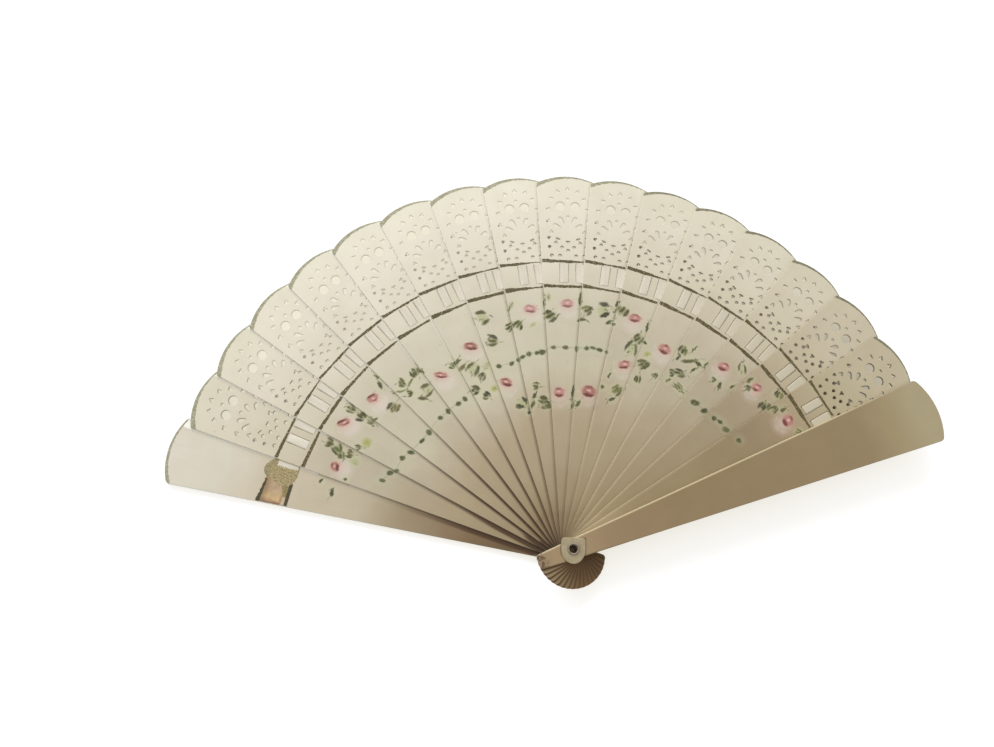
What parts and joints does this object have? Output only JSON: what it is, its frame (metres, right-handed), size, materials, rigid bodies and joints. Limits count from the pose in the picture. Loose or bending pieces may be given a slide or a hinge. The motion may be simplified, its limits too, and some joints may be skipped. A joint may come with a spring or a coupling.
{
  "type": "celluloid folding fan",
  "caption": "Folding fan of pierced, painted celluloid sticks and plain guards, turning on a rivet and joined by a woven satin ribbon.",
  "frame": {"origin": "centre of the flat face of the rivet's rear head, on the pivot axis", "axes": "+Z along the rivet from the rear guard to the front guard, +Y along the middle of the open leaf, +X towards the front guard"},
  "size_m": [0.3774, 0.2108, 0.0183],
  "materials": {
    "celluloid": "cream celluloid, softly polished, yellowed towards the rivet, hand painted with roses and gold lines",
    "guard_celluloid": "aged celluloid, softly polished",
    "plate_celluloid": "pale greenish celluloid, polished",
    "nickel": "dull nickel plate",
    "satin_ribbon": "white silk satin"
  },
  "bodies": {
    "rear_guard": {"rear_guard": "guard_celluloid", "rivet": "nickel", "ribbon_end_rear": "satin_ribbon"},
    "stick_01": {"stick_01": "celluloid", "ribbon_01": "satin_ribbon"},
    "stick_02": {"stick_02": "celluloid", "ribbon_02": "satin_ribbon"},
    "stick_03": {"stick_03": "celluloid", "ribbon_03": "satin_ribbon"},
    "stick_04": {"stick_04": "celluloid", "ribbon_04": "satin_ribbon"},
    "stick_05": {"stick_05": "celluloid", "ribbon_05": "satin_ribbon"},
    "stick_06": {"stick_06": "celluloid", "ribbon_06": "satin_ribbon"},
    "stick_07": {"stick_07": "celluloid", "ribbon_07": "satin_ribbon"},
    "stick_08": {"stick_08": "celluloid", "ribbon_08": "satin_ribbon"},
    "stick_09": {"stick_09": "celluloid", "ribbon_09": "satin_ribbon"},
    "stick_10": {"stick_10": "celluloid", "ribbon_10": "satin_ribbon"},
    "stick_11": {"stick_11": "celluloid", "ribbon_11": "satin_ribbon"},
    "stick_12": {"stick_12": "celluloid", "ribbon_12": "satin_ribbon"},
    "stick_13": {"stick_13": "celluloid", "ribbon_13": "satin_ribbon"},
    "stick_14": {"stick_14": "celluloid", "ribbon_14": "satin_ribbon"},
    "stick_15": {"stick_15": "celluloid", "ribbon_15": "satin_ribbon"},
    "stick_16": {"stick_16": "celluloid", "ribbon_16": "satin_ribbon"},
    "front_guard": {"front_guard": "guard_celluloid", "ribbon_end_front": "satin_ribbon"},
    "front_plate": {"front_plate": "plate_celluloid"},
    "rear_plate": {"rear_plate": "plate_celluloid"}
  },
  "joints": [
    {"name": "stick_01_pivot", "type": "hinge", "parent": "rear_guard", "child": "stick_01", "pos_m": [0, 0, 0.009], "axis": [0, 0, 1], "range_deg": [0, 8.5]},
    {"name": "stick_02_pivot", "type": "hinge", "parent": "stick_01", "child": "stick_02", "pos_m": [0, 0, 0.009], "axis": [0, 0, 1], "range_deg": [0, 8.5]},
    {"name": "stick_03_pivot", "type": "hinge", "parent": "stick_02", "child": "stick_03", "pos_m": [0, 0, 0.009], "axis": [0, 0, 1], "range_deg": [0, 8.5]},
    {"name": "stick_04_pivot", "type": "hinge", "parent": "stick_03", "child": "stick_04", "pos_m": [0, 0, 0.009], "axis": [0, 0, 1], "range_deg": [0, 8.5]},
    {"name": "stick_05_pivot", "type": "hinge", "parent": "stick_04", "child": "stick_05", "pos_m": [0, 0, 0.009], "axis": [0, 0, 1], "range_deg": [0, 8.5]},
    {"name": "stick_06_pivot", "type": "hinge", "parent": "stick_05", "child": "stick_06", "pos_m": [0, 0, 0.009], "axis": [0, 0, 1], "range_deg": [0, 8.5]},
    {"name": "stick_07_pivot", "type": "hinge", "parent": "stick_06", "child": "stick_07", "pos_m": [0, 0, 0.009], "axis": [0, 0, 1], "range_deg": [0, 8.5]},
    {"name": "stick_08_pivot", "type": "hinge", "parent": "stick_07", "child": "stick_08", "pos_m": [0, 0, 0.009], "axis": [0, 0, 1], "range_deg": [0, 8.5]},
    {"name": "stick_09_pivot", "type": "hinge", "parent": "stick_08", "child": "stick_09", "pos_m": [0, 0, 0.009], "axis": [0, 0, 1], "range_deg": [0, 8.5]},
    {"name": "stick_10_pivot", "type": "hinge", "parent": "stick_09", "child": "stick_10", "pos_m": [0, 0, 0.009], "axis": [0, 0, 1], "range_deg": [0, 8.5]},
    {"name": "stick_11_pivot", "type": "hinge", "parent": "stick_10", "child": "stick_11", "pos_m": [0, 0, 0.009], "axis": [0, 0, 1], "range_deg": [0, 8.5]},
    {"name": "stick_12_pivot", "type": "hinge", "parent": "stick_11", "child": "stick_12", "pos_m": [0, 0, 0.009], "axis": [0, 0, 1], "range_deg": [0, 8.5]},
    {"name": "stick_13_pivot", "type": "hinge", "parent": "stick_12", "child": "stick_13", "pos_m": [0, 0, 0.009], "axis": [0, 0, 1], "range_deg": [0, 8.5]},
    {"name": "stick_14_pivot", "type": "hinge", "parent": "stick_13", "child": "stick_14", "pos_m": [0, 0, 0.009], "axis": [0, 0, 1], "range_deg": [0, 8.5]},
    {"name": "stick_15_pivot", "type": "hinge", "parent": "stick_14", "child": "stick_15", "pos_m": [0, 0, 0.009], "axis": [0, 0, 1], "range_deg": [0, 8.5]},
    {"name": "stick_16_pivot", "type": "hinge", "parent": "stick_15", "child": "stick_16", "pos_m": [0, 0, 0.009], "axis": [0, 0, 1], "range_deg": [0, 8.5]},
    {"name": "front_guard_pivot", "type": "hinge", "parent": "stick_16", "child": "front_guard", "pos_m": [0, 0, 0.009], "axis": [0, 0, 1], "range_deg": [0, 8.5]},
    {"name": "front_plate_turn", "type": "hinge", "parent": "rear_guard", "child": "front_plate", "pos_m": [0, 0, 0.017], "axis": [0, 0, 1], "continuous": true},
    {"name": "rear_plate_turn", "type": "hinge", "parent": "rear_guard", "child": "rear_plate", "pos_m": [0, 0, 0.001], "axis": [0, 0, 1], "continuous": true}
  ],
  "couplings": [
    {"joint": "stick_02_pivot", "follows": "stick_01_pivot", "ratio": 1},
    {"joint": "stick_03_pivot", "follows": "stick_01_pivot", "ratio": 1},
    {"joint": "stick_04_pivot", "follows": "stick_01_pivot", "ratio": 1},
    {"joint": "stick_05_pivot", "follows": "stick_01_pivot", "ratio": 1},
    {"joint": "stick_06_pivot", "follows": "stick_01_pivot", "ratio": 1},
    {"joint": "stick_07_pivot", "follows": "stick_01_pivot", "ratio": 1},
    {"joint": "stick_08_pivot", "follows": "stick_01_pivot", "ratio": 1},
    {"joint": "stick_09_pivot", "follows": "stick_01_pivot", "ratio": 1},
    {"joint": "stick_10_pivot", "follows": "stick_01_pivot", "ratio": 1},
    {"joint": "stick_11_pivot", "follows": "stick_01_pivot", "ratio": 1},
    {"joint": "stick_12_pivot", "follows": "stick_01_pivot", "ratio": 1},
    {"joint": "stick_13_pivot", "follows": "stick_01_pivot", "ratio": 1},
    {"joint": "stick_14_pivot", "follows": "stick_01_pivot", "ratio": 1},
    {"joint": "stick_15_pivot", "follows": "stick_01_pivot", "ratio": 1},
    {"joint": "stick_16_pivot", "follows": "stick_01_pivot", "ratio": 1},
    {"joint": "front_guard_pivot", "follows": "stick_01_pivot", "ratio": 1}
  ]
}
